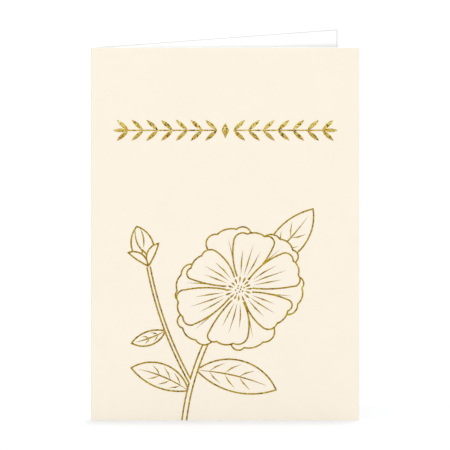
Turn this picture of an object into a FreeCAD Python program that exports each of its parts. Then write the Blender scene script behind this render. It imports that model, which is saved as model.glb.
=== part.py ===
"""A folded greeting card that stands ajar, with a gold foil flower and a gold foil laurel band on its front.

The card is one sheet, scored and folded once, so it is one solid. The foil is a thin film stamped on the
front panel: the band is one node, and the flower with its leaves and bud is another.

Millimetres and degrees. +Z is up, the front faces -Y, and the fold stands at the left. The drawing is worked
out from the front panel's lower left corner, in its printed face, and the whole card is moved at the end so
that the origin lies at the bottom centre.
"""
import FreeCAD, Part
import math
import os

from FreeCAD import Vector

# Sheet and fold
CARD_WIDTH = 105.0
CARD_HEIGHT = 148.0
SHEET_THICKNESS = 0.4
OPENING_ANGLE = 23.3
FOLD_OUTER_RADIUS = 0.6
SCORE_BEAD_RISE = 0.08

# Foil and the pen that the flower is drawn with
FOIL_THICKNESS = 0.05
OUTLINE_WIDTH = 0.6
VEIN_WIDTH = 0.55

# Laurel band
BAND_LENGTH = 88.0
BAND_CENTRE_BELOW_TOP = 32.8
BAND_LEAF_PAIRS = 7
BAND_LEAF_LENGTH = 6.2
BAND_LEAF_WIDTH = 1.5
BAND_LEAF_ANGLE = 42.0
BAND_STEM_WIDTH = 0.55
BAND_MIDDLE_GAP = 6.4
LOZENGE_LENGTH = 6.4
LOZENGE_WIDTH = 3.0

# Open bloom: two rounds of petals, each petal a little unlike the next
BLOOM_CENTRE = (58.0, 52.0)
PETALS_IN_ROUND = 6
FRONT_PETAL_ANGLE = 20.0
BACK_PETAL_ANGLE = 46.5
FRONT_PETAL_LENGTH = 25.0
BACK_PETAL_LENGTH = 27.5
PETAL_TURN_WANDER_ANGLE = 3.5
PETAL_LENGTH_WANDER_SHARE = 0.05
PETAL_BOW_WANDER_SHARE = 0.04
BLOOM_SQUASH_RATIO = 0.86
BLOOM_SQUASH_ANGLE = 115.0
EYE_RADIUS = 5.2
STAMENS = 16
STAMEN_WIDTH = 0.8
SEEDS = 9
SEED_SIZE = 0.8
SEED_TURN_ANGLE = 137.5

# Stem from below the card's bottom edge to behind the bloom, and the bud on its stalk, each along one arc
STEM_FOOT = (36.0, -5.0)
STEM_BEND = (41.5, 22.0)
STEM_WIDTH = 2.4
STALK_ROOT_SHARE = 0.32
STALK_BEND = (29.0, 37.0)
STALK_WIDTH = 1.9
BUD_BASE = (22.5, 61.0)
BUD_ANGLE = 106.0
BUD_LENGTH = 17.0

# Leaves: each springs at a share of its stem, or out from behind the bloom
LEFT_LEAF_ROOT_SHARE = 0.27
LEFT_LEAF_ANGLE = 158.0
LEFT_LEAF_LENGTH = 25.0
RIGHT_LEAF_ROOT_SHARE = 0.41
RIGHT_LEAF_ANGLE = -14.0
RIGHT_LEAF_LENGTH = 33.0
STALK_LEAF_ROOT_SHARE = 0.47
STALK_LEAF_ANGLE = 200.0
STALK_LEAF_LENGTH = 15.0
TOP_LEAF_ANGLE = 48.0
TOP_LEAF_REACH = 43.5
TOP_LEAF_LENGTH = 31.0

# Outlines in shares of a petal's or leaf's length, as (along, across). Arcs run through every second point.
PETAL_SIDE_SHARES = [(0.1, 0.03), (0.45, 0.24), (0.8, 0.33), (0.94, 0.28), (0.96, 0.14)]
PETAL_CROWN_SHARES = (1.0, 0.0)
FRONT_PETAL_VEIN_SHARES = [(-0.14, 0.68), (0.0, 0.8), (0.14, 0.68)]
BACK_PETAL_VEIN_SHARES = [(0.0, 0.84)]
LEAF_HALF_WIDTH_SHARE = 0.2
LEAF_VEIN_SHARES = [(0.16, 0.13), (0.34, 0.15), (0.52, 0.12)]
SMALL_LEAF_VEIN_SHARES = [(0.24, 0.13), (0.48, 0.11)]


def on_front(points):
    """Points (x, z) of the drawing as vectors in the front panel's printed face."""
    return [Vector(x, 0, z) for x, z in points]


def arcs(points):
    """Edges of a chain of arcs: each starts where the last one ends, and passes through one point between."""
    spots = on_front(points)
    return [Part.Arc(*spots[i:i + 3]).toShape() for i in range(0, len(spots) - 2, 2)]


def lens(start, upper, end, lower):
    """The face between two arcs that share their ends."""
    return Part.Face(Part.Wire(arcs([start, upper, end, lower, start])))


def polygon(corners):
    return Part.Face(Part.makePolygon(on_front([*corners, corners[0]])))


def pen(start, via, end):
    """A stroke along an arc, as wide as the pen at its middle and pointed at its ends."""
    upper, lower = swollen(start, via, end, VEIN_WIDTH)
    return lens(start, upper, end, lower)


def needle(start, via, end, width=VEIN_WIDTH):
    """A slim kite: a short or nearly straight stroke that is widest at the point on its way."""
    upper, lower = swollen(start, via, end, width)
    return polygon([start, upper, end, lower])


def swollen(start, via, end, width):
    """The two points that lie half the width to either side of the point on the way."""
    run, rise = end[0] - start[0], end[1] - start[1]
    aside = width / 2 / math.hypot(run, rise)
    return (via[0] - rise * aside, via[1] + run * aside), (via[0] + rise * aside, via[1] - run * aside)


def outline(area):
    """The line that the pen leaves just inside an area's edge."""
    return area.cut(area.makeOffset2D(-OUTLINE_WIDTH))


def fused(faces):
    return faces[0].multiFuse(faces[1:]) if len(faces) > 1 else faces[0]


def drawn(layers):
    """The ink of layers of (area, strokes), front to back: each area hides the strokes behind it."""
    shown, cover = [], None
    for area, strokes in layers:
        ink = fused(strokes)
        shown.append(ink.cut(cover) if cover else ink)
        cover = cover.fuse(area) if cover else area
    return fused(shown)


def mirrored(points):
    return [(along, -across) for along, across in points]


def frond(base, direction, length, bow=0.0):
    """Places (along, across), in shares of the length, for a petal or leaf whose midrib bows to one side."""
    cos, sin = math.cos(math.radians(direction)), math.sin(math.radians(direction))

    def place(*points):
        placed = []
        for along, across in points:
            across += 4 * bow * along * (1 - along)
            placed.append((
                base[0] + length * (along * cos - across * sin),
                base[1] + length * (along * sin + across * cos),
            ))
        return placed

    return place


def tilted(points):
    """Bloom points, drawn in towards the bloom's long axis, as a flower that looks up and aside."""
    cos, sin = math.cos(math.radians(BLOOM_SQUASH_ANGLE)), math.sin(math.radians(BLOOM_SQUASH_ANGLE))
    turned = []
    for x, z in points:
        x, z = x - BLOOM_CENTRE[0], z - BLOOM_CENTRE[1]
        lost = (x * cos + z * sin) * (1 - BLOOM_SQUASH_RATIO)
        turned.append((BLOOM_CENTRE[0] + x - lost * cos, BLOOM_CENTRE[1] + z - lost * sin))
    return turned


def petal(direction, length, bow, veins):
    """A broad petal with a crown between two round shoulders, and veins that fan out from its base."""
    place = frond(BLOOM_CENTRE, direction, length, bow)
    edge = tilted(place(*PETAL_SIDE_SHARES, PETAL_CROWN_SHARES, *mirrored(PETAL_SIDE_SHARES)[::-1]))
    base = Part.LineSegment(*on_front([edge[-1], edge[0]])).toShape()
    area = Part.Face(Part.Wire([*arcs(edge), base]))
    fan = [
        needle(*tilted(place((0.24, across / 3), (0.45, across * 0.7), (reach, across))))
        for across, reach in veins
    ]
    return area, [outline(area), *fan]


def eye():
    """The middle of the bloom: a ring of stamens round a patch of seeds that follow a sunflower's turn."""
    rim = [frond(BLOOM_CENTRE, quarter * 90, EYE_RADIUS)((1, 0))[0] for quarter in range(4)]
    strokes = []
    for i in range(STAMENS):
        place = frond(BLOOM_CENTRE, i * 360 / STAMENS, EYE_RADIUS * (1 + 0.12 * math.sin(5 * i)))
        strokes.append(needle(*tilted(place((0.5, 0), (0.85, 0), (1.05, 0))), STAMEN_WIDTH))
    for i in range(SEEDS):
        place = frond(BLOOM_CENTRE, i * SEED_TURN_ANGLE, 0.4 * EYE_RADIUS * math.sqrt((i + 0.5) / SEEDS))
        (x, z), = tilted(place((1, 0)))
        strokes.append(needle((x, z - SEED_SIZE / 2), (x, z), (x, z + SEED_SIZE / 2), SEED_SIZE))
    return lens(*rim), strokes


def petals(length, first_angle, veins):
    """One round of petals."""
    layers = []
    for i in range(PETALS_IN_ROUND):
        direction = first_angle + i * 360 / PETALS_IN_ROUND + PETAL_TURN_WANDER_ANGLE * math.sin(4 * i)
        uneven = length * (1 + PETAL_LENGTH_WANDER_SHARE * math.sin(2.3 * i))
        layers.append(petal(direction, uneven, PETAL_BOW_WANDER_SHARE * math.cos(1.7 * i), veins))
    return layers


def bloom():
    """Two rounds of petals behind the eye, the back round between the petals of the front one."""
    return [
        eye(),
        *petals(FRONT_PETAL_LENGTH, FRONT_PETAL_ANGLE, FRONT_PETAL_VEIN_SHARES),
        *petals(BACK_PETAL_LENGTH, BACK_PETAL_ANGLE, BACK_PETAL_VEIN_SHARES),
    ]


def leaf(base, direction, length, bow, veins):
    """A leaf with a midrib and pairs of side veins."""
    place = frond(base, direction, length, bow)
    area = lens(*place((0, 0), (0.45, LEAF_HALF_WIDTH_SHARE), (1, 0), (0.45, -LEAF_HALF_WIDTH_SHARE)))
    strokes = [outline(area), pen(*place((0, 0), (0.45, 0), (0.88, 0)))]
    for along, reach in veins:
        for side in (reach, -reach):
            strokes.append(needle(*place((along, 0), (along + 0.07, 0.52 * side), (along + 0.17, side))))
    return area, strokes


def sepal(base, direction, length, bow):
    place = frond(base, direction, length, bow)
    area = lens(*place((0, 0), (0.5, 0.17), (1, 0), (0.5, -0.17)))
    return area, [outline(area)]


def bud(base, direction, length):
    """A closed bud in three sepals, with two petal edges wrapped over one another."""
    place = frond(base, direction, length)
    area = lens(*place((0, 0), (0.48, 0.27), (1, 0), (0.48, -0.27)))
    wraps = [
        pen(*place((0.96, 0.03), (0.62, 0.1), (0.2, -0.14))),
        pen(*place((0.9, -0.06), (0.66, -0.07), (0.45, 0.0))),
    ]
    return [
        sepal(base, direction + 40, 0.6 * length, -0.12),
        sepal(base, direction - 40, 0.62 * length, 0.12),
        sepal(base, direction + 4, 0.44 * length, 0.0),
        (area, [outline(area), *wraps]),
    ]


def on_arc(points, share):
    """The point at a share of the arc through three points."""
    edge = arcs(points)[0]
    spot = edge.valueAt(edge.FirstParameter + share * (edge.LastParameter - edge.FirstParameter))
    return spot.x, spot.z


def stem(points, width):
    """The area of a stem along one arc, between two more with the same centre."""
    centre = arcs(points)[0].Curve.Center
    sides = []
    for offset in (width / 2, -width / 2):
        moved = [spot + (spot - centre).normalize() * offset for spot in on_front(points)]
        sides.append([(spot.x, spot.z) for spot in moved])
    left, right = sides
    ends = [Part.LineSegment(*on_front([left[i], right[i]])).toShape() for i in (0, 2)]
    return Part.Face(Part.Wire([*arcs(left), ends[1], *arcs(right[::-1]), ends[0]]))


def flower():
    """The bloom, the bud and the leaves on their stems, from front to back."""
    main = [STEM_FOOT, STEM_BEND, BLOOM_CENTRE]
    stalk = [on_arc(main, STALK_ROOT_SHARE), STALK_BEND, BUD_BASE]
    stems = stem(main, STEM_WIDTH).fuse(stem(stalk, STALK_WIDTH))
    both_lines = 2 * OUTLINE_WIDTH
    between_lines = stem(main, STEM_WIDTH - both_lines).fuse(stem(stalk, STALK_WIDTH - both_lines))
    left_root, right_root = on_arc(main, LEFT_LEAF_ROOT_SHARE), on_arc(main, RIGHT_LEAF_ROOT_SHARE)
    stalk_root = on_arc(stalk, STALK_LEAF_ROOT_SHARE)
    behind_bloom = frond(BLOOM_CENTRE, TOP_LEAF_ANGLE, TOP_LEAF_REACH - TOP_LEAF_LENGTH)((1, 0))[0]
    return drawn([
        *bloom(),
        *bud(BUD_BASE, BUD_ANGLE, BUD_LENGTH),
        (stems, [stems.cut(between_lines)]),
        leaf(left_root, LEFT_LEAF_ANGLE, LEFT_LEAF_LENGTH, -0.06, LEAF_VEIN_SHARES),
        leaf(right_root, RIGHT_LEAF_ANGLE, RIGHT_LEAF_LENGTH, 0.05, LEAF_VEIN_SHARES),
        leaf(stalk_root, STALK_LEAF_ANGLE, STALK_LEAF_LENGTH, 0.04, SMALL_LEAF_VEIN_SHARES),
        leaf(behind_bloom, TOP_LEAF_ANGLE, TOP_LEAF_LENGTH, -0.04, LEAF_VEIN_SHARES[1:]),
    ])


def band():
    """Two sprigs of laurel that run out from a lozenge, in the place of a line of words."""
    middle = CARD_WIDTH / 2
    height = CARD_HEIGHT - BAND_CENTRE_BELOW_TOP
    sprig = (BAND_LENGTH - BAND_MIDDLE_GAP) / 2 - BAND_LEAF_LENGTH
    slim = BAND_LEAF_WIDTH / 2 / BAND_LEAF_LENGTH
    faces = [polygon([
        (middle - LOZENGE_WIDTH / 2, height), (middle, height + LOZENGE_LENGTH / 2),
        (middle + LOZENGE_WIDTH / 2, height), (middle, height - LOZENGE_LENGTH / 2),
    ])]
    for way in (1, -1):
        start = middle + way * BAND_MIDDLE_GAP / 2
        end = start + way * (sprig + BAND_STEM_WIDTH)
        faces.append(polygon([
            (start, height - BAND_STEM_WIDTH / 2), (end, height - BAND_STEM_WIDTH / 2),
            (end, height + BAND_STEM_WIDTH / 2), (start, height + BAND_STEM_WIDTH / 2),
        ]))
        for i in range(BAND_LEAF_PAIRS):
            root = (start + way * sprig * i / (BAND_LEAF_PAIRS - 1), height)
            turns = [BAND_LEAF_ANGLE, -BAND_LEAF_ANGLE] + ([0.0] if i == BAND_LEAF_PAIRS - 1 else [])
            for turn in turns:
                place = frond(root, turn if way > 0 else 180 - turn, BAND_LEAF_LENGTH)
                faces.append(lens(*place((0, 0), (0.5, slim), (1, 0), (0.5, -slim))))
    return fused(faces)


def card():
    """The sheet's section, from the front panel's free edge round the fold to the back panel's, drawn up."""
    inner_radius = FOLD_OUTER_RADIUS - SHEET_THICKNESS
    angle = math.radians(OPENING_ANGLE)
    centre = Vector(FOLD_OUTER_RADIUS, FOLD_OUTER_RADIUS, 0)
    front, back = Vector(1, 0, 0), Vector(math.cos(angle), math.sin(angle), 0)
    front_out, back_out = Vector(0, -1, 0), Vector(-math.sin(angle), math.cos(angle), 0)
    inward = front + back
    inward.normalize()
    panel = CARD_WIDTH - FOLD_OUTER_RADIUS

    front_outer = centre + front_out * FOLD_OUTER_RADIUS
    front_inner = centre + front_out * inner_radius
    back_outer = centre + back_out * FOLD_OUTER_RADIUS
    back_inner = centre + back_out * inner_radius
    edges = [
        Part.LineSegment(front_outer + front * panel, front_outer),
        Part.Arc(front_outer, centre - inward * FOLD_OUTER_RADIUS, back_outer),
        Part.LineSegment(back_outer, back_outer + back * panel),
        Part.LineSegment(back_outer + back * panel, back_inner + back * panel),
        Part.LineSegment(back_inner + back * panel, back_inner),
        Part.Arc(back_inner, centre + inward * SCORE_BEAD_RISE, front_inner),
        Part.LineSegment(front_inner, front_inner + front * panel),
        Part.LineSegment(front_inner + front * panel, front_outer + front * panel),
    ]
    section = Part.Face(Part.Wire([edge.toShape() for edge in edges]))
    return section.extrude(Vector(0, 0, CARD_HEIGHT))


def stamped(ink):
    """Foil on the printed face: the ink that lies on the flat of the front panel, as thick as the film."""
    left, right, top = FOLD_OUTER_RADIUS, CARD_WIDTH, CARD_HEIGHT
    film = Part.Shell(ink.common(polygon([(left, 0), (right, 0), (right, top), (left, top)])).Faces)
    faces = film.removeSplitter().Faces
    return Part.Compound([face.extrude(Vector(0, -FOIL_THICKNESS, 0)) for face in faces])


nodes = {"card": card(), "foil_band": stamped(band()), "foil_flower": stamped(flower())}
box = Part.Compound(list(nodes.values())).BoundBox
to_origin = Vector(-(box.XMin + box.XMax) / 2, -(box.YMin + box.YMax) / 2, 0)
os.makedirs("parts", exist_ok=True)
for name, shape in nodes.items():
    shape.translate(to_origin)
    shape.exportStep(f"parts/{name}.step")
    print(name, len(shape.Solids), "solids", round(shape.Volume, 3), "mm3", shape.isValid())
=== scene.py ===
"""Looks of the greeting card: its board, its foil, the studio and the camera. Lengths are in metres."""

import math

import bpy
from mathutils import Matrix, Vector


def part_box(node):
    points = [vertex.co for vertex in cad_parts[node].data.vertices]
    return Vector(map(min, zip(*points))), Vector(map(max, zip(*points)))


MM = 0.001

# The card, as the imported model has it
FOLD_OUTER_RADIUS = 0.6 * MM
OPENING = math.radians(23.3)

# Board: colours about as they render, in sRGB from 0 to 255, and a tint that multiplies them on a fibre
CREAM = (254, 245, 229)
CREAM_WARM = (253, 244, 227)
BOARD_WHITE = (255, 255, 254)
# Painted shade: a grey line along the inside edges of the bare board
RIM_SHADE_GREY = (219, 219, 218)
CORE_WHITE = (246, 245, 241)
PLY_GREY = (222, 219, 212)
FIBRE_TINT = (0.92, 0.91, 0.88, 1.0)
BOARD_ROUGHNESS = (0.70, 0.92)
BOARD_GLOSS = 0.15

# Board: depth of the print, and how far from an edge its wear, the painted grey shade line inside and the
# cut edge reach
PRINT_DEPTH = 0.03 * MM
WEAR_REACH = (0.02 * MM, 0.12 * MM)
RIM_SHADE_REACH = (0.35 * MM, 0.50 * MM)
CUT_REACH = (0.0, 0.02 * MM)

# Board: size of each kind of blotch, and the part of the noise's values that its change of colour spans
FIBRE_SIZE = 0.55 * MM
FIBRE_TWIST = 3.0
FIBRE_SPAN = (0.50, 0.72)
TOOTH_SIZE = 0.16 * MM
TOOTH_SPAN = (0.35, 0.65)
CLOUD_SIZE = 14 * MM
CLOUD_SPAN = (0.35, 0.65)
PLY_SIZE = 0.10 * MM
PLY_SPAN = (0.4, 0.7)
PLY_STRETCH = (1.0, 1.0, 0.05)
BOARD_RELIEF = 0.04 * MM
BOARD_RELIEF_SHARE = 0.8

# Foil: (noise value, colour) along the mottle, and tints that multiply the colour. The colours are darker
# than they render, because the metal mirrors the lamps.
LINE_SHADES = (
    (0.32, (78, 64, 0)),
    (0.41, (99, 85, 0)),
    (0.47, (145, 117, 2)),
    (0.53, (160, 145, 13)),
    (0.59, (106, 93, 0)),
    (0.68, (184, 177, 54)),
)
BAND_SHADES = (
    (0.32, (56, 44, 10)),
    (0.40, (116, 97, 29)),
    (0.46, (173, 162, 69)),
    (0.52, (201, 204, 124)),
    (0.58, (126, 110, 37)),
    (0.68, (218, 221, 171)),
)
BAND_WARM_TINT = (1.06, 0.74, 0.46, 1.0)
LINE_WARM_TINT = (1.04, 0.80, 0.68, 1.0)
# Painted shade: these tints darken the foil smoothly towards its bottom, so it is lighter at the top
BAND_FOOT_SHADE_TINT = (0.78, 0.68, 0.50, 1.0)
LINE_FOOT_SHADE_TINT = (0.96, 0.94, 0.90, 1.0)
MOTTLE_SIZE = 0.75 * MM
MOTTLE_TWIST = 0.4
WARM_PATCH_SIZE = 0.6 * MM
WARM_PATCH_SPAN = (0.42, 0.58)
GRAIN_SIZE = 0.25 * MM
FOIL_ROUGHNESS = (0.36, 0.54)
CRINKLE = 0.05 * MM
CRINKLE_SHARE = 0.3

# The part of a noise's values that a change of roughness spans
ROUGHNESS_SPAN = (0.3, 0.7)

# Studio. FLOOR_COLOUR is what light on its way to the card meets. To the camera the floor is lighter, and
# faintly cool, so that its shade stays neutral where the cream card warms it.
WORLD_LIGHT = 1.04
WORLD_SEEN = 1.0
KEY_STRENGTH = 0.52 * math.pi
KEY_SPREAD = math.radians(7)
KEY_BACK = math.radians(2.5)
KEY_RIGHT = math.radians(2.5)
FILL_STRENGTH = 0.25 * math.pi
FILL_SPREAD = math.radians(3.4)
FILL_ELEVATION = math.radians(8.2)
FLOOR_SIZE = 6.0
FLOOR_COLOUR = (0.27, 0.27, 0.27, 1.0)
FLOOR_SEEN = (0.390, 0.393, 0.399, 1.0)
FLOOR_LIFT = 0.405

# The photograph's camera
CAMERA_ELEVATION = math.radians(9.9)
CAMERA_WIDTH = 176.1 * MM
AIM_ABOVE_MIDDLE = 3.53 * MM
AIM_LEFT = 0.1 * MM
CAMERA_DISTANCE = 0.6

# Sockets of a Mix node that mixes colours
MIX_FIRST, MIX_SECOND, MIX_RESULT = 6, 7, 2


def linear(colour):
    """A colour from 0 to 255 in sRGB, as the linear RGBA that a shader socket takes."""
    shares = [c / 255 for c in colour]
    return [s / 12.92 if s <= 0.04045 else ((s + 0.055) / 1.055) ** 2.4 for s in shares] + [1.0]


def new_material(name):
    """An empty material with its output node: (material, its node tree, the output)."""
    material = bpy.data.materials.new(name)
    material.use_nodes = True
    tree = material.node_tree
    tree.nodes.clear()
    return material, tree, tree.nodes.new("ShaderNodeOutputMaterial")


def node(tree, kind, inputs=None, **settings):
    """A new node. Its inputs are set to a value, or linked where the value is a socket."""
    made = tree.nodes.new(kind)
    for name, value in settings.items():
        setattr(made, name, value)
    for name, value in (inputs or {}).items():
        if isinstance(value, bpy.types.NodeSocket):
            tree.links.new(value, made.inputs[name])
        else:
            made.inputs[name].default_value = value
    return made


def math_of(tree, operation, first, second=0.0):
    """The result of a sum on two numbers."""
    return node(tree, "ShaderNodeMath", {0: first, 1: second}, operation=operation).outputs[0]


def vector_of(tree, operation, first, second=(0.0, 0.0, 0.0)):
    """The result of a sum on two vectors: a vector, or the number that LENGTH and DOT_PRODUCT give."""
    made = node(tree, "ShaderNodeVectorMath", {0: first, 1: second}, operation=operation)
    return made.outputs["Value" if operation in ("LENGTH", "DOT_PRODUCT") else "Vector"]


def mapped(tree, value, low, high, to_low=0.0, to_high=1.0):
    """value, moved smoothly from the range low..high to to_low..to_high."""
    inputs = {"Value": value, "From Min": low, "From Max": high, "To Min": to_low, "To Max": to_high}
    return node(tree, "ShaderNodeMapRange", inputs, interpolation_type="SMOOTHSTEP").outputs[0]


def faded(tree, value, low, high):
    """1 where value is low or less, smoothly down to 0 where it is high or more."""
    return mapped(tree, value, low, high, 1.0, 0.0)


def mixed(tree, share, first, second, blend="MIX"):
    """Two colours mixed: the first where share is 0, and the second, or their blend, where it is 1."""
    inputs = {"Factor": share, MIX_FIRST: first, MIX_SECOND: second}
    return node(tree, "ShaderNodeMix", inputs, data_type="RGBA", blend_type=blend).outputs[MIX_RESULT]


def noise(tree, where, size, detail=2.0, distortion=0.0):
    """Noise whose blotches are about size across."""
    inputs = {"Vector": where, "Scale": 1 / size, "Detail": detail, "Distortion": distortion}
    return node(tree, "ShaderNodeTexNoise", inputs).outputs["Fac"]


def bumped(tree, height, share, depth):
    """The surface's normal with a relief of this depth."""
    inputs = {"Height": height, "Strength": share, "Distance": depth}
    return node(tree, "ShaderNodeBump", inputs).outputs["Normal"]


def surface(tree, output, inputs):
    """Ends a material in one Principled surface."""
    made = node(tree, "ShaderNodeBsdfPrincipled", inputs)
    tree.links.new(made.outputs["BSDF"], output.inputs["Surface"])


def from_fold(tree, flat, angle):
    """(distance from the panel's middle line through the fold, distance along that line) of a point."""
    direction = (math.cos(angle), math.sin(angle), 0.0)
    along = vector_of(tree, "DOT_PRODUCT", flat, direction)
    reached = math_of(tree, "MAXIMUM", along)
    scaled = node(tree, "ShaderNodeVectorMath", {0: direction, "Scale": reached}, operation="SCALE")
    aside = vector_of(tree, "SUBTRACT", flat, scaled.outputs["Vector"])
    return vector_of(tree, "LENGTH", aside), along


def board_material(low, high):
    """Smooth uncoated board: a cream print on the outside, bare white inside and on the cut edges, and a
    painted grey shade line along the inside edges.
    """
    material, tree, output = new_material("board")
    place = node(tree, "ShaderNodeTexCoord").outputs["Object"]
    height = node(tree, "ShaderNodeSeparateXYZ", {"Vector": place}).outputs["Z"]

    # How far a point lies from the nearer panel's plane through the fold's axis, and from the sheet's edge
    fold_axis = (low.x + FOLD_OUTER_RADIUS, low.y + FOLD_OUTER_RADIUS, 0.0)
    moved = vector_of(tree, "SUBTRACT", place, fold_axis)
    flat = vector_of(tree, "MULTIPLY", moved, (1.0, 1.0, 0.0))
    front_off, front_along = from_fold(tree, flat, 0.0)
    back_off, back_along = from_fold(tree, flat, OPENING)
    depth = math_of(tree, "MINIMUM", front_off, back_off)
    along = math_of(tree, "MAXIMUM", front_along, back_along)
    to_free_edge = math_of(tree, "SUBTRACT", high.x - low.x - FOLD_OUTER_RADIUS, along)
    to_top = math_of(tree, "SUBTRACT", high.z, height)
    to_edge = math_of(tree, "MINIMUM", math_of(tree, "MINIMUM", to_free_edge, to_top), height)

    # Outside, the print, which shows white where an edge is rubbed
    fibres = noise(tree, place, FIBRE_SIZE, detail=3.0, distortion=FIBRE_TWIST)
    tooth = noise(tree, place, TOOTH_SIZE)
    clouds = noise(tree, place, CLOUD_SIZE)
    cream = mixed(tree, mapped(tree, clouds, *CLOUD_SPAN), linear(CREAM), linear(CREAM_WARM))
    wear = math_of(tree, "MULTIPLY", faded(tree, to_edge, *WEAR_REACH), fibres)
    worn_cream = mixed(tree, wear, cream, linear(BOARD_WHITE))

    # Inside, bare board with a painted grey shade line along its edges, and the plies on the cut edge
    white = mixed(tree, faded(tree, to_edge, *RIM_SHADE_REACH), linear(BOARD_WHITE), linear(RIM_SHADE_GREY))
    plies = noise(tree, vector_of(tree, "MULTIPLY", place, PLY_STRETCH), PLY_SIZE)
    core = mixed(tree, mapped(tree, plies, *PLY_SPAN), linear(CORE_WHITE), linear(PLY_GREY))
    inner = mixed(tree, faded(tree, to_edge, *CUT_REACH), white, core)

    outside = mapped(tree, depth, FOLD_OUTER_RADIUS - PRINT_DEPTH, FOLD_OUTER_RADIUS - PRINT_DEPTH / 2)
    bare = mixed(tree, outside, inner, worn_cream)
    speck = math_of(tree, "MULTIPLY", mapped(tree, fibres, *FIBRE_SPAN), mapped(tree, tooth, *TOOTH_SPAN))
    relief = math_of(tree, "ADD", fibres, tooth)
    inputs = {
        "Base Color": mixed(tree, speck, bare, FIBRE_TINT, "MULTIPLY"),
        "Roughness": mapped(tree, tooth, *ROUGHNESS_SPAN, *BOARD_ROUGHNESS),
        "Specular IOR Level": BOARD_GLOSS,
        "Normal": bumped(tree, relief, BOARD_RELIEF_SHARE, BOARD_RELIEF),
    }
    surface(tree, output, inputs)
    return material


def foil_material(name, shades, warm_tint, foot_shade_tint, low, high):
    """Hot-stamped gold foil: mottled in the shades, with warm patches, a fine crinkle and painted shade
    that darkens it towards its foot.
    """
    material, tree, output = new_material(name)
    place = node(tree, "ShaderNodeTexCoord").outputs["Object"]
    height = node(tree, "ShaderNodeSeparateXYZ", {"Vector": place}).outputs["Z"]
    mottle = noise(tree, place, MOTTLE_SIZE, detail=3.0, distortion=MOTTLE_TWIST)
    ramp = node(tree, "ShaderNodeValToRGB", {"Fac": mottle})
    stops = ramp.color_ramp.elements
    while len(stops) < len(shades):
        stops.new(1.0)
    for stop, (position, shade) in zip(stops, shades):
        stop.position = position
        stop.color = linear(shade)
    warmth = mapped(tree, noise(tree, place, WARM_PATCH_SIZE), *WARM_PATCH_SPAN)
    varied = mixed(tree, warmth, ramp.outputs["Color"], warm_tint, "MULTIPLY")
    # Painted shade: 1 at the foil's bottom, fading to 0 at its top, where the foot tint darkens the colour
    foot = faded(tree, height, low.z, high.z)
    grain = noise(tree, place, GRAIN_SIZE, detail=3.0)
    inputs = {
        "Base Color": mixed(tree, foot, varied, foot_shade_tint, "MULTIPLY"),
        "Metallic": 1.0,
        "Roughness": mapped(tree, grain, *ROUGHNESS_SPAN, *FOIL_ROUGHNESS),
        "Normal": bumped(tree, mottle, CRINKLE_SHARE, CRINKLE),
    }
    surface(tree, output, inputs)
    return material


def seen_directly(tree):
    """1 for a ray that the camera, a reflection or glass sends, and 0 for light on its way to the card."""
    path = node(tree, "ShaderNodeLightPath")
    some = math_of(tree, "MAXIMUM", path.outputs["Is Camera Ray"], path.outputs["Is Glossy Ray"])
    return math_of(tree, "MAXIMUM", some, path.outputs["Is Transmission Ray"])


def floor_material():
    """A plain white floor that keeps the card's soft shadow."""
    material, tree, output = new_material("floor")
    seen = seen_directly(tree)
    colour = mixed(tree, seen, FLOOR_COLOUR, FLOOR_SEEN)
    diffuse = node(tree, "ShaderNodeBsdfDiffuse", {"Color": colour})
    lift = node(tree, "ShaderNodeEmission", {"Strength": math_of(tree, "MULTIPLY", seen, FLOOR_LIFT)})
    both = node(tree, "ShaderNodeAddShader", {0: diffuse.outputs[0], 1: lift.outputs[0]})
    tree.links.new(both.outputs[0], output.inputs["Surface"])
    return material


def lamp(name, strength, spread, rotation):
    """A lamp so far away that its light is even. Unturned, it shines straight down."""
    data = bpy.data.lights.new(name, "SUN")
    data.energy = strength
    data.angle = spread
    made = bpy.data.objects.new(name, data)
    made.rotation_euler = rotation
    bpy.context.scene.collection.objects.link(made)


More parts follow.
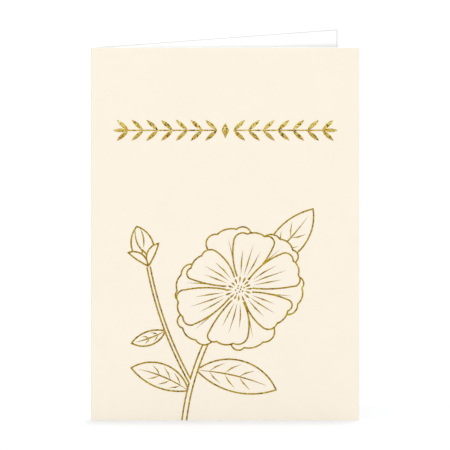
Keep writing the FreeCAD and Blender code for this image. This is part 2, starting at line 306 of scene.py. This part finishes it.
def studio():
    """A wide white floor, an even sky, a soft lamp overhead and a low one before and behind the card."""
    world = bpy.data.worlds.new("studio")
    bpy.context.scene.world = world
    world.use_nodes = True
    tree = world.node_tree
    tree.nodes.clear()
    strength = mapped(tree, seen_directly(tree), 0.0, 1.0, WORLD_LIGHT, WORLD_SEEN)
    sky = node(tree, "ShaderNodeBackground", {"Color": (1.0, 1.0, 1.0, 1.0), "Strength": strength})
    output = node(tree, "ShaderNodeOutputWorld")
    tree.links.new(sky.outputs[0], output.inputs["Surface"])

    bpy.ops.mesh.primitive_plane_add(size=FLOOR_SIZE)
    floor = bpy.context.object
    floor.name = "floor"
    floor.data.materials.append(floor_material())

    lamp("key", KEY_STRENGTH, KEY_SPREAD, (-KEY_BACK, KEY_RIGHT, 0.0))
    for name, turn in (("fill_front", 0.0), ("fill_back", math.pi)):
        lamp(name, FILL_STRENGTH, FILL_SPREAD, (math.pi / 2 - FILL_ELEVATION, 0.0, turn))


def camera(low, high):
    """A camera without perspective at the photograph's angle: the front panel stays a rectangle."""
    data = bpy.data.cameras.new("camera")
    data.type = "ORTHO"
    data.ortho_scale = CAMERA_WIDTH
    made = bpy.data.objects.new("camera", data)
    back = Vector((0.0, -math.cos(CAMERA_ELEVATION), math.sin(CAMERA_ELEVATION)))
    up = Vector((0.0, math.sin(CAMERA_ELEVATION), math.cos(CAMERA_ELEVATION)))
    front_middle = Vector(((low.x + high.x) / 2 - AIM_LEFT, low.y, (low.z + high.z) / 2))
    made.location = front_middle + up * AIM_ABOVE_MIDDLE + back * CAMERA_DISTANCE
    made.rotation_euler = (math.pi / 2 - CAMERA_ELEVATION, 0.0, 0.0)
    bpy.context.scene.collection.objects.link(made)
    bpy.context.scene.camera = made


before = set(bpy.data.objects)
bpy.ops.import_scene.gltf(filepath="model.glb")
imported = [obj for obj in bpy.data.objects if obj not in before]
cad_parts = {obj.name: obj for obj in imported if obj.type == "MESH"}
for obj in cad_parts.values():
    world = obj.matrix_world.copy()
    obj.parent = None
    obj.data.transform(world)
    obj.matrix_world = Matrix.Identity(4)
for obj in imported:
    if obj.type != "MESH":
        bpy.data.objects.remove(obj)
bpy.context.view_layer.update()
bpy.context.scene.view_settings.view_transform = "Standard"

card_low, card_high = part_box("card")
camera(card_low, card_high)
studio()

finishes = {"card": board_material(card_low, card_high)}
finishes["foil_band"] = foil_material(
    "band_foil", BAND_SHADES, BAND_WARM_TINT, BAND_FOOT_SHADE_TINT, *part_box("foil_band")
)
finishes["foil_flower"] = foil_material(
    "line_foil", LINE_SHADES, LINE_WARM_TINT, LINE_FOOT_SHADE_TINT, *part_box("foil_flower")
)
for name, finish in finishes.items():
    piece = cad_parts[name]
    piece.data.materials.clear()
    piece.data.materials.append(finish)
